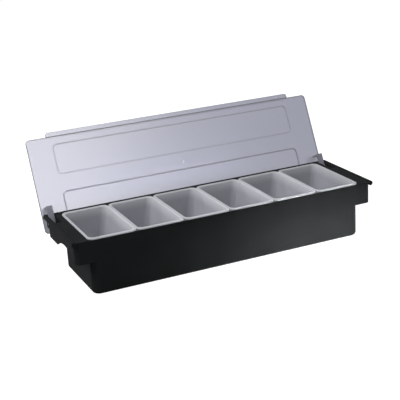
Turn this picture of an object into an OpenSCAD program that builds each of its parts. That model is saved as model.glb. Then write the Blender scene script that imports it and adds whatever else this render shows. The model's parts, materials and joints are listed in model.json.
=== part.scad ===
// Six-compartment condiment caddy: a tray with hollow end rails, six lift-out
// inserts and one clear lid that swings on stub pins in the rear corners.
// Frame: X along the length, -Y the front, +Z up. The origin is the middle of
// the tray's flat underside. The lid is drawn open, leaning on its stops.

/* [Inserts] */
// Width of one insert's rim, along the tray
rim_w = 74.8; // [60:0.1:100]
// Depth of one insert's rim, front to back
rim_d = 133; // [110:0.5:160]
// Thickness of the rim
rim_t = 2.4; // [1.6:0.1:4]
// Corner radius of the rim
rim_r = 4.5; // [2:0.5:10]
// Width of the rim's overhang at the sides
rim_side = 2.25; // [1.5:0.05:4]
// Width of the rim's overhang at the front and back
rim_end = 3.7; // [3.2:0.1:6]
// Corner radius of an insert's walls
insert_r = 10; // [5:0.5:12]
// Wall of an insert
insert_wall = 1.5; // [1:0.1:2.5]
// Floor of an insert
insert_floor = 1.8; // [1:0.1:3]
// Slope of an insert's side walls, degrees from upright
draft_side = 12; // [8:0.5:14]
// Slope of an insert's front and back walls, degrees from upright
draft_end = 5; // [2:0.5:8]
// Radius of an insert's bottom edge
insert_foot_r = 6; // [3:0.5:8]
// Gap between neighbouring rims
rim_gap = 0.35; // [0.2:0.05:2]

/* [Tray] */
// Height of the tray
tray_h = 85.4; // [75:0.1:110]
// Wall of the tray
wall = 2.5; // [1.8:0.1:3.5]
// Floor of the tray
floor_t = 2.5; // [1.8:0.1:4]
// Radius of the tray's upright corners
tray_r = 12; // [8:0.5:14]
// Radius of the tray's bottom edge
foot_r = 5; // [4:0.5:8]
// How far the rims sit below the deck
rim_sink = 0.6; // [0.3:0.1:1.5]
// Margin of tray front and back beyond the rims
rim_edge = 0.6; // [0.3:0.1:2]
// Gap between the end rims and the deck
rim_side_gap = 0.25; // [0.2:0.05:2]
// Gap between the inserts and the tray's floor
under_gap = 4.7; // [2:0.1:12]
// Gap between an insert's side and the tray's end wall
side_clear = 0.4; // [0.3:0.1:2]
// Depth of the wider top part of the well, from the rims down
shoulder_drop = 8.6; // [8:0.1:28]

/* [End rails] */
// Height of an end rail
rail_h = 34.3; // [30:0.1:50]
// Thickness of the deck on top of an end rail
deck_t = 2.5; // [1.8:0.1:3.5]
// Radius of an end rail's upright corners
rail_r = 9; // [4:0.5:10]
// How far an end rail stands back behind the tray's rear wall
rail_back = 0.5; // [0.4:0.1:3]
// Radius of the round lip along each end of the deck
bead_r = 3.75; // [3:0.05:4]
// Height of the ends' lip above the deck
bead_rise = 1.4; // [0.5:0.1:2]
// Radius of the round lip along the deck's back
back_bead_r = 3.25; // [2.5:0.05:4]
// Height of the back's lip above the deck
back_bead_rise = 0.9; // [0.3:0.1:1.2]
// How far the lip stands out at each end
lip_out = 4.2; // [1:0.05:6]
// How far the lip stands out at the back
lip_back = 10.8; // [9:0.1:12]
// Length cut off the lip's rear corners
lip_corner = 5; // [2:0.5:6]
// Width of the finger arch in an end rail's lower edge
arch_w = 88; // [50:1:90]
// Height of the finger arch
arch_h = 15; // [8:0.5:20]
// Distance from the tray's middle forward to the finger arch's middle
arch_ahead = 16.5; // [10:0.5:18]
// Height cut off an end rail's lower edge behind the arch
heel_rise = 4; // [1:0.5:6]

/* [Hinge] */
// Height of the deck above the hinge pins
hinge_down = 12; // [10:0.5:14]
// How far the hinge pins lie behind the tray's rear wall
hinge_back = 0.4; // [0:0.1:1]
// Radius of a hinge pin
pin_r = 1.5; // [1:0.1:2.2]
// Radial clearance round a hinge pin
pin_clear = 0.05; // [0.02:0.01:0.1]
// How far a hinge pin reaches into each cheek of its pocket
pin_grip = 1.3; // [0.8:0.1:1.5]
// Space past the end of a hinge pin
pin_end_gap = 0.15; // [0.1:0.05:0.3]
// Amount by which the snap slot is narrower than the pin
snap_pinch = 0.3; // [0.1:0.1:0.6]
// Radius of the knuckle on a hinge arm
knuckle_r = 4.4; // [3.6:0.1:4.8]
// Width of a hinge arm
arm_w = 9.3; // [8:0.1:14]
// Thickness of a hinge arm
arm_t = 3.5; // [2.5:0.1:4]
// Length of a hinge arm, from its pin to its far face
arm_l = 26.6; // [24:0.2:32]
// Thickness of the elbow between arm and lid
elbow_t = 3; // [2:0.1:4]
// Gap at each side of a hinge arm
arm_side_gap = 0.5; // [0.3:0.05:1]
// Gap at the open and closed stops
stop_gap = 0.3; // [0.2:0.05:0.5]
// Thickness between the well and a hinge pocket
web_t = 8.4; // [3.5:0.05:10]
// Thickness of a pocket's outer cheek
cheek_t = 2.6; // [2.3:0.05:4]
// Thickness of a pocket's floor and back
pocket_t = 2.5; // [1.5:0.1:3]
// Length of a pocket in front of the closed arm
pocket_room = 9.6; // [2:0.2:20]

/* [Lid] */
// How far the lid is open, in degrees from closed
open_angle = 115.5; // [112:0.5:118]
// Thickness of the lid
lid_t = 2.5; // [2:0.1:4]
// Corner radius of the lid
lid_r = 6; // [3:0.5:12]
// Gap between the deck and the closed lid
lid_gap = 3.6; // [3:0.1:6]
// How far the lid stands past the end rails
lid_side_over = 2; // [0:0.05:4]
// How far the closed lid stands past the lip at the back
lid_back_over = 3.2; // [2:0.1:8]
// How far the closed lid stands past the tray's front
lid_front_over = 0.4; // [0:0.1:4]
// Distance from the lid's edge to the panels at front and back
panel_edge = 12.5; // [8:0.5:20]
// Distance from the lid's edge to the panels at the ends
panel_side = 41; // [20:0.5:60]
// Distance between the two panels
panel_gap = 28; // [10:1:50]
// Height of a panel above the lid
panel_rise = 0.8; // [0.4:0.1:1.2]
// Corner radius of a panel
panel_r = 7; // [3:0.5:12]
// Width of the step round a panel
panel_step = 1; // [0.5:0.1:2]
// Length of the finger lip along the lid's front edge
grip_l = 431; // [200:1:440]
// How far the finger lip stands out
grip_out = 7.5; // [4:0.5:14]
// Thickness of the finger lip
grip_t = 2.5; // [1.5:0.1:3]
// How far the finger lip is raised above the lid's underside
grip_lift = 1.2; // [0.4:0.1:1.5]
// How far the finger lip overlaps the lid
grip_root = 2; // [1:0.5:4]
// Radius of the moulding gate in the middle of the lid
gate_r = 2.6; // [1:0.1:4]
// Height of the moulding gate
gate_h = 0.4; // [0.2:0.1:0.8]

/* [Hidden] */
insert_count = 6;
$fn = 64;
hull_fn = 24;
cut = 1;
skin = 0.01;

tray_color = [0.09, 0.10, 0.10];
insert_color = [0.80, 0.81, 0.84];
lid_color = [0.80, 0.81, 0.87, 0.55];

// Inserts
pitch = rim_w + rim_gap;
rim_z = tray_h - rim_sink;
rim_top = rim_z + rim_t;
insert_x = rim_w - 2 * rim_side;
insert_y = rim_d - 2 * rim_end;
insert_h = rim_top - floor_t - under_gap;
function insert_at(i) = (i - (insert_count + 1) / 2) * pitch;

// Tray: half sizes and levels
tray_y = rim_d / 2 + rim_edge;
deck_x = insert_count * pitch / 2 + rim_side_gap;
well_x = insert_at(insert_count) + insert_x / 2 + side_clear;
body_in_x = well_x - shoulder_drop * tan(draft_side);
body_x = body_in_x + wall;
shoulder_z = rim_top - shoulder_drop;
rail_z = tray_h - rail_h;

// Hinge
pocket_x = deck_x + web_t;
pocket_w = arm_w + 2 * arm_side_gap;
arm_x = pocket_x + arm_side_gap;
rail_x = pocket_x + pocket_w + cheek_t;
rail_y = tray_y + rail_back;
lip_x = rail_x + lip_out;
lip_y = tray_y + lip_back;
hinge_y = tray_y + hinge_back;
hinge_z = tray_h - hinge_down;
lid_z = tray_h + lid_gap;
lid_back_y = lip_y + lid_back_over;
lid_front_y = -tray_y - lid_front_over;
lid_x = rail_x + lid_side_over;
pocket_floor_z = hinge_z - knuckle_r - stop_gap;
pocket_front_y = hinge_y - arm_l - pocket_room;
// The back of the open arm crosses the deck's level here
lean = open_angle - 90;
arm_back = knuckle_r - arm_t;
pocket_back_y = hinge_y + hinge_down * tan(lean) - arm_back / cos(lean) + stop_gap;
seat_r = pin_r + pin_clear;
pin_reach = arm_side_gap + pin_grip;

// ---------- shared shapes ----------

module rounded_rect(size_x, size_y, r) {
    square([size_x - 2 * r, size_y], center = true);
    square([size_x, size_y - 2 * r], center = true);
    for (sx = [-1, 1], sy = [-1, 1])
        translate([sx * (size_x / 2 - r), sy * (size_y / 2 - r)]) circle(r);
}

// Rectangle from y = 0 up, with its two lower corners round
module round_footed(width, height, r) {
    translate([-width / 2, r]) square([width, height - r]);
    translate([-width / 2 + r, 0]) square([width - 2 * r, height]);
    for (s = [-1, 1])
        translate([s * (width / 2 - r), r]) circle(r);
}

// Upright block with round corners and a round bottom edge
module tub(size_x, size_y, height, corner_r, edge_r) {
    straight_x = size_x - 2 * corner_r;
    straight_y = size_y - 2 * corner_r;
    rotate([90, 0, 90])
        linear_extrude(straight_x, center = true) round_footed(size_y, height, edge_r);
    rotate([90, 0, 0])
        linear_extrude(straight_y, center = true) round_footed(size_x, height, edge_r);
    for (sx = [-1, 1], sy = [-1, 1])
        translate([sx * straight_x / 2, sy * straight_y / 2, 0])
            rotate_extrude()
                intersection() {
                    round_footed(2 * corner_r, height, edge_r);
                    square([corner_r, height]);
                }
}

module both_ends() {
    children();
    mirror([1, 0, 0]) children();
}

// Box between two corners
module span(low, high) {
    translate(low) cube(high - low);
}

// ---------- tray ----------

// Plan of one end rail, inset on every outer side
module rail_plan(inset) {
    r = rail_r - inset;
    far = rail_x - inset;
    front = -tray_y + inset;
    back = rail_y - inset;
    near = body_x - tray_r;
    translate([near, front]) square([far - r - near, back - front]);
    translate([near, front + r]) square([far - near, back - front - 2 * r]);
    for (y = [front + r, back - r])
        translate([far - r, y]) circle(r);
}

module finger_arch() {
    arch_r = (arch_w * arch_w / 4 + arch_h * arch_h) / (2 * arch_h);
    translate([rail_x - wall - cut, -arch_ahead, rail_z + arch_h - arch_r])
        rotate([0, 90, 0]) cylinder(h = wall + 2 * cut, r = arch_r);
}

// What is cut off an end rail's lower edge, from the arch's middle back
module heel_cut() {
    span([body_x - tray_r - cut, -arch_ahead, rail_z - cut],
         [rail_x + cut, rail_y + cut, rail_z + heel_rise]);
}

module end_rail() {
    difference() {
        translate([0, 0, rail_z]) linear_extrude(rail_h) rail_plan(0);
        translate([0, 0, rail_z - cut]) linear_extrude(rail_h + cut - deck_t) rail_plan(wall);
        finger_arch();
        heel_cut();
    }
    // Block that holds the hinge pocket
    span([pocket_x - wall, pocket_front_y - pocket_t, pocket_floor_z - pocket_t],
         [rail_x - wall / 2, pocket_back_y + pocket_t, tray_h - deck_t / 2]);
}

// Deck round the well, with a round lip along its back and both ends
module lip() {
    end_x = lip_x - bead_r;
    back_y = lip_y - back_bead_r;
    difference() {
        union() {
            span([-end_x, -tray_y, tray_h - deck_t], [end_x, back_y, tray_h]);
            translate([0, back_y, tray_h + back_bead_rise - back_bead_r])
                rotate([0, 90, 0])
                    cylinder(h = 2 * end_x + bead_r, r = back_bead_r, center = true);
            both_ends()
                translate([end_x, back_y, tray_h + bead_rise - bead_r])
                    rotate([90, 0, 0]) cylinder(h = back_y + tray_y, r = bead_r);
        }
        both_ends()
            translate([lip_x, lip_y, tray_h])
                rotate([0, 0, 45])
                    cube([lip_corner * sqrt(2), 4 * bead_r, 4 * bead_r], center = true);
    }
}

// Pocket for one hinge arm, with the seat that its stub pins snap down into
module hinge_pocket() {
    span([pocket_x, pocket_front_y, pocket_floor_z],
         [pocket_x + pocket_w, pocket_back_y, tray_h + cut]);
    seat_x = pocket_x - pin_grip - pin_end_gap;
    seat_l = pocket_w + 2 * (pin_grip + pin_end_gap);
    slot_half = pin_r - snap_pinch / 2;
    translate([seat_x, hinge_y, hinge_z])
        rotate([0, 90, 0]) cylinder(h = seat_l, r = seat_r);
    span([seat_x, hinge_y - slot_half, hinge_z],
         [seat_x + seat_l, hinge_y + slot_half, tray_h + cut]);
}

module base_tray() {
    color(tray_color)
        difference() {
            union() {
                tub(2 * body_x, 2 * tray_y, tray_h - deck_t / 2, tray_r, foot_r);
                span([-well_x - wall, -tray_y, shoulder_z - wall],
                     [well_x + wall, tray_y, tray_h - deck_t / 2]);
                both_ends() end_rail();
                lip();
            }
            // Lower well, and the wider top part that the end inserts lean out into
            translate([0, 0, floor_t])
                tub(2 * body_in_x, 2 * (tray_y - wall), tray_h, tray_r - wall, foot_r - wall);
            translate([0, 0, shoulder_z])
                linear_extrude(tray_h) rounded_rect(2 * well_x, 2 * (tray_y - wall), tray_r - wall);
            // Seat of the rims, open at the front
            span([-deck_x, -tray_y - cut, rim_z], [deck_x, tray_y, tray_h + cut]);
            both_ends() hinge_pocket();
        }
}

// ---------- inserts ----------

// Tapered form from its top outline down, at z = 0 and below
module insert_form(top_x, top_y, depth, corner_r, edge_r) {
    foot_x = top_x / 2 - depth * tan(draft_side) - edge_r;
    foot_y = top_y / 2 - depth * tan(draft_end) - edge_r;
    hull() {
        translate([0, 0, -skin])
            linear_extrude(skin) rounded_rect(top_x, top_y, corner_r, $fn = hull_fn);
        for (sx = [-1, 1], sy = [-1, 1])
            translate([sx * foot_x, sy * foot_y, edge_r - depth]) sphere(edge_r, $fn = hull_fn);
    }
}

module insert(i) {
    inner_x = insert_x - 2 * insert_wall;
    inner_y = insert_y - 2 * insert_wall;
    color(insert_color)
        translate([insert_at(i), 0, rim_top])
            difference() {
                union() {
                    translate([0, 0, -rim_t])
                        linear_extrude(rim_t) rounded_rect(rim_w, rim_d, rim_r, $fn = hull_fn);
                    insert_form(insert_x, insert_y, insert_h, insert_r, insert_foot_r);
                }
                translate([0, 0, skin])
                    insert_form(inner_x, inner_y, insert_h - insert_floor + skin,
                                insert_r - insert_wall, insert_foot_r - insert_wall);
            }
}

// ---------- lid ----------

// One raised panel's outline, centred on the lid's length
module panel(sign, inset) {
    size_x = 2 * (lid_x - panel_side);
    size_y = (lid_back_y - lid_front_y - 2 * panel_edge - panel_gap) / 2;
    translate([0, (lid_back_y + lid_front_y) / 2 + sign * (size_y + panel_gap) / 2])
        rounded_rect(size_x - 2 * inset, size_y - 2 * inset, panel_r - inset);
}

module hinge_arm() {
    arm_z = hinge_z - knuckle_r;
    arm_end_y = hinge_y - arm_l;
    span([arm_x, arm_end_y, arm_z], [arm_x + arm_w, hinge_y, arm_z + arm_t]);
    span([arm_x, arm_end_y, arm_z], [arm_x + arm_w, arm_end_y + elbow_t, lid_z + lid_t / 2]);
    translate([arm_x, hinge_y, hinge_z])
        rotate([0, 90, 0]) cylinder(h = arm_w, r = knuckle_r);
    translate([arm_x - pin_reach, hinge_y, hinge_z])
        rotate([0, 90, 0]) cylinder(h = arm_w + 2 * pin_reach, r = pin_r);
}

module closed_lid() {
    mid_y = (lid_back_y + lid_front_y) / 2;
    difference() {
        union() {
            translate([0, mid_y, lid_z])
                linear_extrude(lid_t) rounded_rect(2 * lid_x, lid_back_y - lid_front_y, lid_r);
            for (sign = [-1, 1])
                translate([0, 0, lid_z + lid_t / 2])
                    linear_extrude(lid_t / 2 + panel_rise) panel(sign, 0);
            translate([0, lid_front_y + grip_root / 2 - grip_out / 2, lid_z + grip_lift])
                linear_extrude(grip_t) rounded_rect(grip_l, grip_out + grip_root, grip_out / 2);
        }
        for (sign = [-1, 1])
            translate([0, 0, lid_z - cut])
                linear_extrude(cut + panel_rise) panel(sign, panel_step);
    }
    translate([0, mid_y, lid_z - gate_h]) cylinder(h = gate_h + lid_t / 2, r = gate_r);
    both_ends() hinge_arm();
}

module lid() {
    color(lid_color)
        translate([0, hinge_y, hinge_z]) rotate([-open_angle, 0, 0])
            translate([0, -hinge_y, -hinge_z]) closed_lid();
}

base_tray();
for (i = [1:insert_count])
    insert(i);
lid();
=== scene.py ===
"""Looks of the six-compartment condiment caddy.

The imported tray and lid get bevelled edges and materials, six smooth lofted
inserts stand for the faceted ones, and a pale floor, soft lamps and a camera
make the photograph's view. Lengths are metres unless a comment says otherwise.
"""

import json
import math

import bmesh
import bpy
from mathutils import Matrix, Vector


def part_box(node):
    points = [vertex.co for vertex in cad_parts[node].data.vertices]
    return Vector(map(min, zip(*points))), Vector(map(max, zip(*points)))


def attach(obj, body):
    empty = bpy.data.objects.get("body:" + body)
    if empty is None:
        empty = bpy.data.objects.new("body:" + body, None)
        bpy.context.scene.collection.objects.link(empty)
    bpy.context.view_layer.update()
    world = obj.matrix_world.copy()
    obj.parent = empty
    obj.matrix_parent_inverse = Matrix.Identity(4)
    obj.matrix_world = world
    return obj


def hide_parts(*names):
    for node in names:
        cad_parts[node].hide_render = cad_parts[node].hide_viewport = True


MM = 0.001
QUARTER_TURN = math.pi / 2

# Camera: where it stands, what it looks at, how it is rolled, and its lens and
# sensor in millimetres
CAMERA_AT = Vector((-0.6113, -1.3442, 0.5868))
CAMERA_AIM = Vector((-0.0196, 0.0031, 0.0864))
CAMERA_ROLL = math.radians(-3.43)
CAMERA_LENS = 90.29
SENSOR_WIDTH = 36

# Tray's black plastic: two shades that cloud into each other, its gloss and its grain
TRAY_SHADES = ((0.0125, 0.0135, 0.0135), (0.015, 0.016, 0.0165))
TRAY_ROUGHNESS = (0.52, 0.6)
TRAY_SPECULAR = 0.03
TRAY_IOR = 1.17
TRAY_CLOUDS = 14
TRAY_GRAIN = 1400
TRAY_BUMP = 0.25

# Inserts' milky plastic: two shades deep down and a lighter one near the rim that is painted
# light, with the heights between which the painted light comes in, then its gloss, grain and
# translucency
INSERT_SHADES = ((0.47, 0.475, 0.525), (0.51, 0.515, 0.565))
RIM_PAINTED_LIGHT = (0.72, 0.735, 0.77)
PAINTED_LIGHT_HEIGHTS = (70 * MM, 87 * MM)
INSERT_ROUGHNESS = (0.46, 0.54)
INSERT_SPECULAR = 0.15
INSERT_CLOUDS = 18
INSERT_GRAIN = 900
INSERT_BUMP = 0.12
INSERT_ALPHA = 0.4
SCATTER_WEIGHT = 0.5
SCATTER_RADII = (1.0, 1.0, 1.0)
SCATTER_DEPTH = 3 * MM

# Lid's smoky plastic: its shades, among them the painted shade of its lines, and gloss, and how
# solid and how dull its faces and its edges look
LID_SHADES = ((0.07, 0.078, 0.19), (0.09, 0.098, 0.21))
LINE_PAINTED_SHADE = (0.03, 0.03, 0.04)
GATE_SHADE = (0.24, 0.25, 0.32)
LID_ALPHA = (0.62, 0.95)
LID_ROUGHNESS = (0.3, 0.36)
EDGE_ROUGHNESS = 0.9
LID_SPECULAR = 1.0
LID_IOR = 1.84
LID_CLOUDS = 6

# Round-cornered outlines on the lid as it lies closed, in millimetres: plate, two
# panels and finger lip, each as its middle's Y, its half sizes, its corners' radius
# and how dark its painted line of shade is
LID_OUTLINES = (
    (6.8, (249.0, 74.3), 6.0, 1.0),
    (-31.1, (208.0, 23.9), 7.0, 0.5),
    (44.7, (208.0, 23.9), 7.0, 0.7),
    (-70.25, (215.5, 4.75), 3.75, 0.4),
)

# Distances from an outline between which its painted line of shade fades out
LINE_FADE = (0.46 * MM, 1.15 * MM)

# The closed lid's thick arms are darker below its plate, painted shade of the pockets
# they sit in: by how much, and the heights between which that ends
ARM_PAINTED_SHADE = 0.8
ARM_TOP = (85 * MM, 88.5 * MM)

# The mark of the mould's gate on the closed lid: its place, and the distances
# between which it fades out
GATE_AT = Vector((0, 9.2, 0)) * MM
GATE_FADE = (1.4 * MM, 3.2 * MM)

# Depth of every grain's bump, the range that noise mostly keeps to, and a plain range
BUMP_DEPTH = 0.1 * MM
NOISE_RANGE = (0.3, 0.7)
UNIT_RANGE = (0, 1)

# Inserts, in millimetres. Their rims' outer size and their place come from the
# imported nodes; the rim stands out past the walls by one amount at the sides and
# another at the ends, and the walls lean in towards the foot.
INSERT_COUNT = 6
RIM_THICKNESS = 2.4
RIM_RADIUS = 9
RIM_ROUND = 1.0
RIM_SIDE = 2.25
RIM_END = 3.7
INSERT_RADIUS = 10
INSERT_WALL = 1.5
INSERT_FLOOR = 1.8
LEAN_SIDE = math.tan(math.radians(12))
LEAN_END = math.tan(math.radians(5))
FOOT_ROUND = 6
FOOT_CORNER = 0.6

# Steps in a quarter turn, for corners seen from above and for round edges
CORNER_STEPS = 10
ROUND_STEPS = 5

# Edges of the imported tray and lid: bevels, the least angle that gets one, and what
# counts as one point and as one flat face
TRAY_BEVEL = 0.5 * MM
LID_BEVEL = 0.45 * MM
BEVEL_SEGMENTS = 2
SHARP_ANGLE = math.radians(32)
SAME_POINT = 0.002 * MM
FLAT_ANGLE = math.radians(0.2)
FLAT_FACE_WEIGHT = 100

# Stage: the floor's size, own colour and glow, and the world's light on the object
FLOOR_SIZE = 14
FLOOR_COLOUR = (0.3, 0.3, 0.31)
FLOOR_GLOW = 0.96
FILL_COLOUR = (0.93, 0.95, 1.0)
FILL_STRENGTH = 0.09
WHITE = (1, 1, 1)

# Square lamps. Azimuth is from the front towards the right and elevation above the
# floor, both in degrees like the spread; power is in watts.
LAMPS = (
    {
        "name": "left_key",
        "azimuth": -100,
        "elevation": 50,
        "distance": 1.8,
        "size": 1.2,
        "power": 40,
        "spread": 180,
        "aim": CAMERA_AIM,
    },
    {
        "name": "lid_sheen",
        "azimuth": 3,
        "elevation": 36,
        "distance": 2.2,
        "size": 1.1,
        "power": 19.6,
        "spread": 180,
        "aim": CAMERA_AIM,
    },
    {
        "name": "low_right",
        "azimuth": 50,
        "elevation": 4,
        "distance": 0.9,
        "size": 0.1,
        "power": 0.44,
        "spread": 17.5,
        "aim": Vector((0.13, -0.067, -0.012)),
    },
)


# ---------- node helpers ----------


def new_material(name, values=None):
    """A material with one Principled shader, whose even values sit on its sockets."""
    made = bpy.data.materials.new(name)
    made.use_nodes = True
    tree = made.node_tree
    shader = tree.nodes["Principled BSDF"]
    for socket, value in (values or {}).items():
        shader.inputs[socket].default_value = value
    return made, tree, shader


def node(tree, kind, values=None, **settings):
    """A new node with its settings and the values of some of its inputs."""
    made = tree.nodes.new(kind)
    for name, value in settings.items():
        setattr(made, name, value)
    for name, value in (values or {}).items():
        made.inputs[name].default_value = value
    return made


def chained(tree, kind, value, steps):
    """A value put through one math node after another, each with its second number."""
    for operation, second in steps:
        made = node(tree, kind, operation=operation)
        tree.links.new(value, made.inputs[0])
        if second is not None:
            made.inputs[1].default_value = second
        value = made.outputs[0]
    return value


def paired(tree, operation, first, second):
    """One math node on two values."""
    made = node(tree, "ShaderNodeMath", operation=operation)
    tree.links.new(first, made.inputs[0])
    tree.links.new(second, made.inputs[1])
    return made.outputs[0]


def split(tree, place):
    """The three coordinates of a place."""
    made = node(tree, "ShaderNodeSeparateXYZ")
    tree.links.new(place, made.inputs[0])
    return made.outputs


def object_place(tree):
    """A point's place in its object's own space, which is the caddy's at rest."""
    return node(tree, "ShaderNodeTexCoord").outputs["Object"]


def object_noise(tree, scale, detail):
    """Noise in the object's own space, from about 0 to 1."""
    noise = node(tree, "ShaderNodeTexNoise", {"Scale": scale, "Detail": detail})
    tree.links.new(object_place(tree), noise.inputs["Vector"])
    return noise.outputs["Fac"]


def mapped(tree, value, source, target):
    """A number that goes smoothly over the target range as the value crosses the source."""
    limits = {
        "From Min": source[0],
        "From Max": source[1],
        "To Min": target[0],
        "To Max": target[1],
    }
    made = node(tree, "ShaderNodeMapRange", limits, interpolation_type="SMOOTHSTEP")
    tree.links.new(value, made.inputs["Value"])
    return made.outputs["Result"]


def tinted(tree, factor, colour, other):
    """A colour that goes over to another one by the factor."""
    made = node(tree, "ShaderNodeMix", {"B": (*other, 1)}, data_type="RGBA")
    tree.links.new(factor, made.inputs["Factor"])
    tree.links.new(colour, made.inputs["A"])
    return made.outputs["Result"]


def clouded(tree, factor, shades):
    """The first of two shades or the second, by the factor."""
    made = node(tree, "ShaderNodeMix", data_type="RGBA")
    made.inputs["A"].default_value = (*shades[0], 1)
    made.inputs["B"].default_value = (*shades[1], 1)
    tree.links.new(factor, made.inputs["Factor"])
    return made.outputs["Result"]


def bumped(tree, shader, scale, strength):
    """Gives the shader a fine grain of its own."""
    bump = node(tree, "ShaderNodeBump", {"Strength": strength, "Distance": BUMP_DEPTH})
    tree.links.new(object_noise(tree, scale, detail=2), bump.inputs["Height"])
    tree.links.new(bump.outputs["Normal"], shader.inputs["Normal"])


# ---------- materials ----------


def black_plastic():
    """Satin black moulded plastic with a fine grain."""
    made, tree, shader = new_material(
        "tray_black_satin", {"Specular IOR Level": TRAY_SPECULAR, "IOR": TRAY_IOR}
    )
    cloud = object_noise(tree, TRAY_CLOUDS, detail=3)
    colour = clouded(tree, mapped(tree, cloud, NOISE_RANGE, UNIT_RANGE), TRAY_SHADES)
    roughness = mapped(tree, cloud, NOISE_RANGE, TRAY_ROUGHNESS)
    tree.links.new(colour, shader.inputs["Base Color"])
    tree.links.new(roughness, shader.inputs["Roughness"])
    bumped(tree, shader, TRAY_GRAIN, TRAY_BUMP)
    return made


def white_plastic():
    """Milky plastic: waxy and see-through, with light painted in near the rim, where light gets
    in, and painted shade deeper down.
    """
    made, tree, shader = new_material(
        "insert_white_waxy",
        {
            "Specular IOR Level": INSERT_SPECULAR,
            "Alpha": INSERT_ALPHA,
            "Subsurface Weight": SCATTER_WEIGHT,
            "Subsurface Radius": SCATTER_RADII,
            "Subsurface Scale": SCATTER_DEPTH,
        },
    )
    cloud = object_noise(tree, INSERT_CLOUDS, detail=2)
    deep = clouded(tree, mapped(tree, cloud, NOISE_RANGE, UNIT_RANGE), INSERT_SHADES)
    # Painted light and shade: the colour turns lighter towards the rim and stays darker deep
    # down
    painted_rim_light = mapped(tree, split(tree, object_place(tree))["Z"], PAINTED_LIGHT_HEIGHTS, UNIT_RANGE)
    roughness = mapped(tree, cloud, NOISE_RANGE, INSERT_ROUGHNESS)
    tree.links.new(tinted(tree, painted_rim_light, deep, RIM_PAINTED_LIGHT), shader.inputs["Base Color"])
    tree.links.new(roughness, shader.inputs["Roughness"])
    bumped(tree, shader, INSERT_GRAIN, INSERT_BUMP)
    return made


def closed_lid_place(tree, hinge):
    """Where a point of the open lid is once the lid is closed."""
    axle = Vector(hinge["pos_m"])
    opened = math.radians(-hinge["range_deg"][0])
    shut = Matrix.Rotation(opened, 3, "X")
    mapping = node(
        tree,
        "ShaderNodeMapping",
        {"Rotation": (opened, 0, 0), "Location": axle - shut @ axle},
    )
    tree.links.new(object_place(tree), mapping.inputs["Vector"])
    return mapping.outputs["Vector"]


def painted_shade_line(tree, flat, middle, half, radius, dark):
    """A soft thin line of painted shade along a round-cornered outline, as dark as it says."""
    core = ((half[0] - radius) * MM, (half[1] - radius) * MM, 0)
    past_core = chained(
        tree,
        "ShaderNodeVectorMath",
        flat,
        (("SUBTRACT", (0, middle * MM, 0)), ("ABSOLUTE", None), ("SUBTRACT", core)),
    )
    outside = chained(tree, "ShaderNodeVectorMath", past_core, (("MAXIMUM", (0, 0, 0)),))
    length = node(tree, "ShaderNodeVectorMath", operation="LENGTH")
    tree.links.new(outside, length.inputs[0])
    sides = split(tree, past_core)
    nearest = paired(tree, "MAXIMUM", sides["X"], sides["Y"])
    inside = chained(tree, "ShaderNodeMath", nearest, (("MINIMUM", 0),))
    reach = paired(tree, "ADD", length.outputs["Value"], inside)
    off = chained(
        tree, "ShaderNodeMath", reach, (("SUBTRACT", radius * MM), ("ABSOLUTE", None))
    )
    return mapped(tree, off, LINE_FADE, (dark, 0))


def gate_mark(tree, flat):
    """A small soft spot in the middle of the lid."""
    away = node(tree, "ShaderNodeVectorMath", {1: GATE_AT}, operation="DISTANCE")
    tree.links.new(flat, away.inputs[0])
    return mapped(tree, away.outputs["Value"], GATE_FADE, (1, 0))


def smoky_plastic(hinge):
    """The lid's smoky clear plastic: light passes its faces and is lost in its edges, where
    shade is painted.
    """
    made, tree, shader = new_material(
        "lid_smoky", {"IOR": LID_IOR, "Specular IOR Level": LID_SPECULAR}
    )
    place = closed_lid_place(tree, hinge)
    flat = chained(tree, "ShaderNodeVectorMath", place, (("MULTIPLY", (1, 1, 0)),))
    # Painted shade: the arms below the plate and thin lines along the outlines are darkened, and
    # made more solid and dull
    painted_edge_shade = mapped(tree, split(tree, place)["Z"], ARM_TOP, (ARM_PAINTED_SHADE, 0))
    for outline in LID_OUTLINES:
        painted_edge_shade = paired(tree, "MAXIMUM", painted_edge_shade, painted_shade_line(tree, flat, *outline))
    cloud = object_noise(tree, LID_CLOUDS, detail=3)
    face = clouded(tree, mapped(tree, cloud, UNIT_RANGE, UNIT_RANGE), LID_SHADES)
    lined = tinted(tree, painted_edge_shade, face, LINE_PAINTED_SHADE)
    colour = tinted(tree, gate_mark(tree, flat), lined, GATE_SHADE)
    satin = mapped(tree, cloud, UNIT_RANGE, LID_ROUGHNESS)
    dull = mapped(tree, painted_edge_shade, UNIT_RANGE, (0, EDGE_ROUGHNESS))
    tree.links.new(colour, shader.inputs["Base Color"])
    tree.links.new(mapped(tree, painted_edge_shade, UNIT_RANGE, LID_ALPHA), shader.inputs["Alpha"])
    tree.links.new(paired(tree, "MAXIMUM", satin, dull), shader.inputs["Roughness"])
    return made


# ---------- meshes ----------


def ring(half_x, half_y, radius, z):
    """Points of a rounded rectangle at one height, anticlockwise from above."""
    points = []
    for quarter, (side_x, side_y) in enumerate(((1, 1), (-1, 1), (-1, -1), (1, -1))):
        for step in range(CORNER_STEPS + 1):
            turn = QUARTER_TURN * (quarter + step / CORNER_STEPS)
            x = side_x * (half_x - radius) + radius * math.cos(turn)
            y = side_y * (half_y - radius) + radius * math.sin(turn)
            points.append((x, y, z))
    return points


def loft(name, rings):
    """A closed mesh object through rings of as many points each, capped at both ends."""
    bm = bmesh.new()
    rows = [[bm.verts.new(point) for point in points] for points in rings]
    count = len(rows[0])
    for low, high in zip(rows, rows[1:]):
        for here in range(count):
            after = (here + 1) % count
            bm.faces.new((low[here], low[after], high[after], high[here]))
    bm.faces.new(reversed(rows[0]))
    bm.faces.new(rows[-1])
    for face in bm.faces:
        face.smooth = True
    mesh = bpy.data.meshes.new(name)
    bm.to_mesh(mesh)
    bm.free()
    made = bpy.data.objects.new(name, mesh)
    bpy.context.scene.collection.objects.link(made)
    return made


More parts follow.
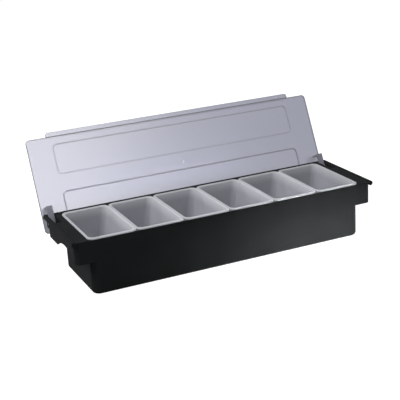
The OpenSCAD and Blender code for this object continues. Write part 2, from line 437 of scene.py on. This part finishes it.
def even_shading(obj):
    """Normals that keep wide flat faces flat beside small rounds."""
    modifier = obj.modifiers.new("even_shading", "WEIGHTED_NORMAL")
    modifier.weight = FLAT_FACE_WEIGHT


def softened(obj, width):
    """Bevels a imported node's sharp edges, with its mesh left as it is."""
    weld = obj.modifiers.new("weld", "WELD")
    weld.merge_threshold = SAME_POINT
    flat = obj.modifiers.new("join_flat", "DECIMATE")
    flat.decimate_type = "DISSOLVE"
    flat.angle_limit = FLAT_ANGLE
    bevel = obj.modifiers.new("soft_edges", "BEVEL")
    bevel.width = width
    bevel.segments = BEVEL_SEGMENTS
    bevel.limit_method = "ANGLE"
    bevel.angle_limit = SHARP_ANGLE
    even_shading(obj)


def round_steps():
    """Sine and cosine at even steps through a quarter turn."""
    turns = [QUARTER_TURN * step / ROUND_STEPS for step in range(ROUND_STEPS + 1)]
    return [(math.sin(turn), math.cos(turn)) for turn in turns]


# A ring is given as its half sizes, its corners' radius and its depth below the top.


def foot_rings(half_x, half_y, corner, depth):
    """The rings round the foot of a tapered wall, from the foot's flat upwards."""
    made = []
    for sine, cosine in round_steps():
        inset = FOOT_ROUND * (1 - sine)
        at = depth - FOOT_ROUND * (1 - cosine)
        ring_x = half_x - at * LEAN_SIDE - inset
        ring_y = half_y - at * LEAN_END - inset
        made.append((ring_x, ring_y, max(corner - inset, FOOT_CORNER), at))
    return made


def rim_rings(half_x, half_y, well_x, well_y, well_corner):
    """The rings round a rim, from its underside over its round edges into the well."""
    under = RIM_ROUND / 2
    made = [
        (half_x - under, half_y - under, RIM_RADIUS - under, RIM_THICKNESS),
        (half_x, half_y, RIM_RADIUS, RIM_THICKNESS - under),
    ]
    for sine, cosine in round_steps():
        inset = RIM_ROUND * (1 - cosine)
        drop = RIM_ROUND * (1 - sine)
        made.append((half_x - inset, half_y - inset, RIM_RADIUS - inset, drop))
    for sine, cosine in round_steps():
        over = RIM_ROUND * (1 - sine)
        drop = RIM_ROUND * (1 - cosine)
        made.append((well_x + over, well_y + over, well_corner + over, drop))
    return made


def insert_rings(half_x, half_y, depth):
    """The rings of a whole insert: up its outside, over its rim and down its inside."""
    body_x = half_x - RIM_SIDE
    body_y = half_y - RIM_END
    well_x = body_x - INSERT_WALL
    well_y = body_y - INSERT_WALL
    well_corner = INSERT_RADIUS - INSERT_WALL
    neck_x = body_x - RIM_THICKNESS * LEAN_SIDE
    neck_y = body_y - RIM_THICKNESS * LEAN_END
    outside = foot_rings(body_x, body_y, INSERT_RADIUS, depth)
    neck = (neck_x, neck_y, INSERT_RADIUS, RIM_THICKNESS)
    rim = rim_rings(half_x, half_y, well_x, well_y, well_corner)
    inside = foot_rings(well_x, well_y, well_corner, depth - INSERT_FLOOR)
    return [*outside, neck, *rim, *reversed(inside)]


def insert_piece(number, low, high, finish):
    """One insert: tapered walls, round corners, a flat rim with round edges."""
    size = (high - low) / MM
    top = high.z / MM
    rings = insert_rings(size.x / 2, size.y / 2, size.z)
    made = loft(
        f"insert_{number}_shell", [ring(x, y, radius, top - at) for x, y, radius, at in rings]
    )
    centre = (low + high) / 2
    made.data.transform(Matrix.Diagonal((MM, MM, MM, 1)))
    made.data.transform(Matrix.Translation((centre.x, centre.y, 0)))
    made.data.materials.append(finish)
    even_shading(made)
    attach(made, f"insert_{number}")
    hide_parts(f"insert_{number}")


# ---------- stage ----------


def seen_directly(tree):
    """1 for rays that show the backdrop itself: camera, mirror and see-through rays."""
    rays = node(tree, "ShaderNodeLightPath").outputs
    either = paired(tree, "MAXIMUM", rays["Is Camera Ray"], rays["Is Glossy Ray"])
    return paired(tree, "MAXIMUM", either, rays["Is Transmission Ray"])


def white_floor():
    """A pale floor that reads white where it is lit and keeps a faint shadow."""
    bpy.ops.mesh.primitive_plane_add(size=FLOOR_SIZE)
    floor = bpy.context.object
    floor.name = "floor"
    made, tree, shader = new_material("floor_white")
    tree.nodes.remove(shader)
    matt = node(tree, "ShaderNodeBsdfDiffuse", {"Color": (*FLOOR_COLOUR, 1)})
    bright = node(tree, "ShaderNodeEmission", {"Color": (*WHITE, 1)})
    glow = chained(tree, "ShaderNodeMath", seen_directly(tree), (("MULTIPLY", FLOOR_GLOW),))
    both = node(tree, "ShaderNodeAddShader")
    tree.links.new(glow, bright.inputs["Strength"])
    tree.links.new(matt.outputs[0], both.inputs[0])
    tree.links.new(bright.outputs[0], both.inputs[1])
    tree.links.new(both.outputs[0], tree.nodes["Material Output"].inputs["Surface"])
    floor.data.materials.append(made)


def pale_world():
    """A white backdrop to look at, and a dim cool fill as light."""
    world = bpy.data.worlds.new("studio")
    bpy.context.scene.world = world
    world.use_nodes = True
    tree = world.node_tree
    seen = node(tree, "ShaderNodeBackground", {"Color": (*WHITE, 1), "Strength": 1.0})
    fill = tree.nodes["Background"]
    fill.inputs["Color"].default_value = (*FILL_COLOUR, 1)
    fill.inputs["Strength"].default_value = FILL_STRENGTH
    mix = node(tree, "ShaderNodeMixShader")
    tree.links.new(seen_directly(tree), mix.inputs[0])
    tree.links.new(fill.outputs[0], mix.inputs[1])
    tree.links.new(seen.outputs[0], mix.inputs[2])
    tree.links.new(mix.outputs[0], tree.nodes["World Output"].inputs["Surface"])


def soft_lamp(name, azimuth, elevation, distance, size, power, spread, aim):
    """A square lamp that faces a point from a direction and a distance."""
    around = math.radians(azimuth)
    above = math.radians(elevation)
    level = math.cos(above)
    towards = Vector((math.sin(around) * level, -math.cos(around) * level, math.sin(above)))
    data = bpy.data.lights.new(name, "AREA")
    data.shape = "SQUARE"
    data.size = size
    data.energy = power
    data.spread = math.radians(spread)
    lamp = bpy.data.objects.new(name, data)
    lamp.location = aim + distance * towards
    lamp.rotation_euler = towards.to_track_quat("Z", "Y").to_euler()
    bpy.context.scene.collection.objects.link(lamp)


def main_camera():
    """The camera, looking down along the caddy from its front left."""
    data = bpy.data.cameras.new("camera")
    data.lens = CAMERA_LENS
    data.sensor_width = SENSOR_WIDTH
    data.sensor_fit = "HORIZONTAL"
    camera = bpy.data.objects.new("camera", data)
    look = (CAMERA_AT - CAMERA_AIM).to_track_quat("Z", "Y").to_matrix().to_4x4()
    roll = Matrix.Rotation(CAMERA_ROLL, 4, "Z")
    camera.matrix_world = Matrix.Translation(CAMERA_AT) @ look @ roll
    bpy.context.scene.collection.objects.link(camera)
    bpy.context.scene.camera = camera


# ---------- the caddy ----------

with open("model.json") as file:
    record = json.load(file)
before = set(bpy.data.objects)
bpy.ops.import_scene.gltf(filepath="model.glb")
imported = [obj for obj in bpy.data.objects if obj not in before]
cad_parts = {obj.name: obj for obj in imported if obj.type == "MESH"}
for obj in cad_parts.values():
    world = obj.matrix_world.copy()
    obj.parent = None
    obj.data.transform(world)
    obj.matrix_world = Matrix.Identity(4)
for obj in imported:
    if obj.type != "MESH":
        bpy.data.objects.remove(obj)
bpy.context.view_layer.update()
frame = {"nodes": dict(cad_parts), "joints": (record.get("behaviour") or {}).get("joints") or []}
bpy.context.scene.view_settings.view_transform = "Standard"

tray = frame["nodes"]["base_tray"]
tray.material_slots[0].material = black_plastic()
softened(tray, TRAY_BEVEL)

lid_hinge = next(joint for joint in frame["joints"] if joint["name"] == "lid_hinge")
lid = frame["nodes"]["lid"]
lid.material_slots[0].material = smoky_plastic(lid_hinge)
softened(lid, LID_BEVEL)

insert_finish = white_plastic()
for number in range(1, INSERT_COUNT + 1):
    insert_piece(number, *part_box(f"insert_{number}"), insert_finish)

white_floor()
pale_world()
for lamp in LAMPS:
    soft_lamp(**lamp)
main_camera()
